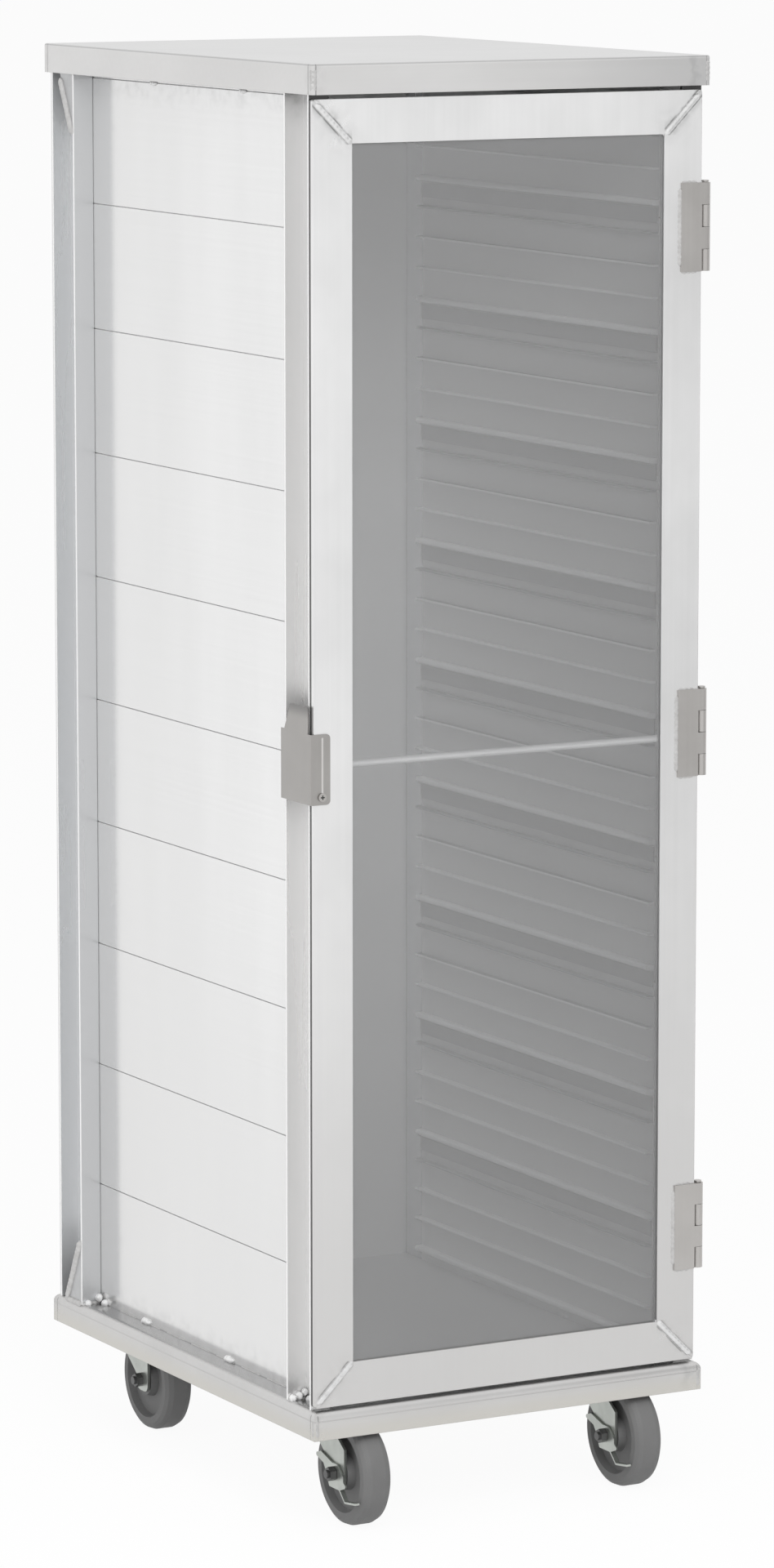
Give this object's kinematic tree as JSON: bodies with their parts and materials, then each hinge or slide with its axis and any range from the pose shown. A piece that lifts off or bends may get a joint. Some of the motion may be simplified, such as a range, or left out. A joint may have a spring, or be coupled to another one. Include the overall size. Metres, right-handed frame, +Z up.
{
  "type": "bun pan rack",
  "caption": "Tall enclosed bun pan rack on swivel casters: welded aluminium cabinet with ledged plank walls, a clear hinged door with a turning latch, and braked front wheels.",
  "frame": {"origin": "on the floor, under the middle of the lid and base", "axes": "+Z up, +X to the right as seen from the door, door on the -Y side"},
  "size_m": [0.5338, 0.7112, 1.7156],
  "materials": {
    "aluminium": "mill",
    "clear_pane": "clear",
    "stainless": "brushed",
    "zinc": "zinc plated",
    "wheel": "matt"
  },
  "bodies": {
    "cabinet": {"base_pan": "aluminium", "lid": "aluminium", "rear_panel": "aluminium", "front_post_left": "aluminium", "front_post_right": "aluminium", "rear_post_left": "aluminium", "rear_post_right": "aluminium", "post_gussets": "aluminium", "wall_plank_left_01": "aluminium", "wall_plank_left_02": "aluminium", "wall_plank_left_03": "aluminium", "wall_plank_left_04": "aluminium", "wall_plank_left_05": "aluminium", "wall_plank_left_06": "aluminium", "wall_plank_left_07": "aluminium", "wall_plank_left_08": "aluminium", "wall_plank_left_09": "aluminium", "wall_plank_left_10": "aluminium", "wall_plank_right_01": "aluminium", "wall_plank_right_02": "aluminium", "wall_plank_right_03": "aluminium", "wall_plank_right_04": "aluminium", "wall_plank_right_05": "aluminium", "wall_plank_right_06": "aluminium", "wall_plank_right_07": "aluminium", "wall_plank_right_08": "aluminium", "wall_plank_right_09": "aluminium", "wall_plank_right_10": "aluminium", "wall_cap_left": "aluminium", "wall_cap_right": "aluminium", "hinge_leaves_post": "stainless", "hinge_pins": "stainless", "caster_plate_front_left": "zinc", "caster_plate_front_right": "zinc", "caster_plate_rear_left": "zinc", "caster_plate_rear_right": "zinc", "caster_bolts": "zinc"},
    "door": {"door_stile_left": "aluminium", "door_stile_right": "aluminium", "door_rail_bottom": "aluminium", "door_rail_top": "aluminium", "door_window": "clear_pane", "door_rod": "aluminium", "hinge_leaves_door": "stainless", "latch_screw": "stainless"},
    "latch": {"latch_plate": "stainless"},
    "swivel_front_left": {"caster_fork_front_left": "zinc", "caster_axle_front_left": "zinc"},
    "wheel_front_left": {"caster_wheel_front_left": "wheel"},
    "brake_front_left": {"caster_brake_front_left": "zinc"},
    "swivel_front_right": {"caster_fork_front_right": "zinc", "caster_axle_front_right": "zinc"},
    "wheel_front_right": {"caster_wheel_front_right": "wheel"},
    "brake_front_right": {"caster_brake_front_right": "zinc"},
    "swivel_rear_left": {"caster_fork_rear_left": "zinc", "caster_axle_rear_left": "zinc"},
    "wheel_rear_left": {"caster_wheel_rear_left": "wheel"},
    "swivel_rear_right": {"caster_fork_rear_right": "zinc", "caster_axle_rear_right": "zinc"},
    "wheel_rear_right": {"caster_wheel_rear_right": "wheel"}
  },
  "joints": [
    {"name": "door_swing", "type": "hinge", "parent": "cabinet", "child": "door", "pos_m": [0.2625, -0.33925, 0.9176], "axis": [0, 0, 1], "range_deg": [0, 180]},
    {"name": "latch_turn", "type": "hinge", "parent": "door", "child": "latch", "pos_m": [-0.251, -0.3453, 0.8776], "axis": [0, -1, 0], "range_deg": [0, 9]},
    {"name": "caster_swivel_front_left", "type": "hinge", "parent": "cabinet", "child": "swivel_front_left", "pos_m": [-0.185, -0.2572, 0.1346], "axis": [0, 0, 1], "continuous": true},
    {"name": "wheel_roll_front_left", "type": "hinge", "parent": "swivel_front_left", "child": "wheel_front_left", "pos_m": [-0.185, -0.2997, 0.0635], "axis": [1, 0, 0], "continuous": true},
    {"name": "brake_press_front_left", "type": "hinge", "parent": "swivel_front_left", "child": "brake_front_left", "pos_m": [-0.185, -0.2997, 0.0635], "axis": [1, 0, 0], "range_deg": [0, 20]},
    {"name": "caster_swivel_front_right", "type": "hinge", "parent": "cabinet", "child": "swivel_front_right", "pos_m": [0.185, -0.2572, 0.1346], "axis": [0, 0, 1], "continuous": true},
    {"name": "wheel_roll_front_right", "type": "hinge", "parent": "swivel_front_right", "child": "wheel_front_right", "pos_m": [0.185, -0.2997, 0.0635], "axis": [1, 0, 0], "continuous": true},
    {"name": "brake_press_front_right", "type": "hinge", "parent": "swivel_front_right", "child": "brake_front_right", "pos_m": [0.185, -0.2997, 0.0635], "axis": [1, 0, 0], "range_deg": [0, 20]},
    {"name": "caster_swivel_rear_left", "type": "hinge", "parent": "cabinet", "child": "swivel_rear_left", "pos_m": [-0.185, 0.2572, 0.1346], "axis": [0, 0, 1], "continuous": true},
    {"name": "wheel_roll_rear_left", "type": "hinge", "parent": "swivel_rear_left", "child": "wheel_rear_left", "pos_m": [-0.185, 0.2147, 0.0635], "axis": [1, 0, 0], "continuous": true},
    {"name": "caster_swivel_rear_right", "type": "hinge", "parent": "cabinet", "child": "swivel_rear_right", "pos_m": [0.185, 0.2572, 0.1346], "axis": [0, 0, 1], "continuous": true},
    {"name": "wheel_roll_rear_right", "type": "hinge", "parent": "swivel_rear_right", "child": "wheel_rear_right", "pos_m": [0.185, 0.2147, 0.0635], "axis": [1, 0, 0], "continuous": true}
  ]
}
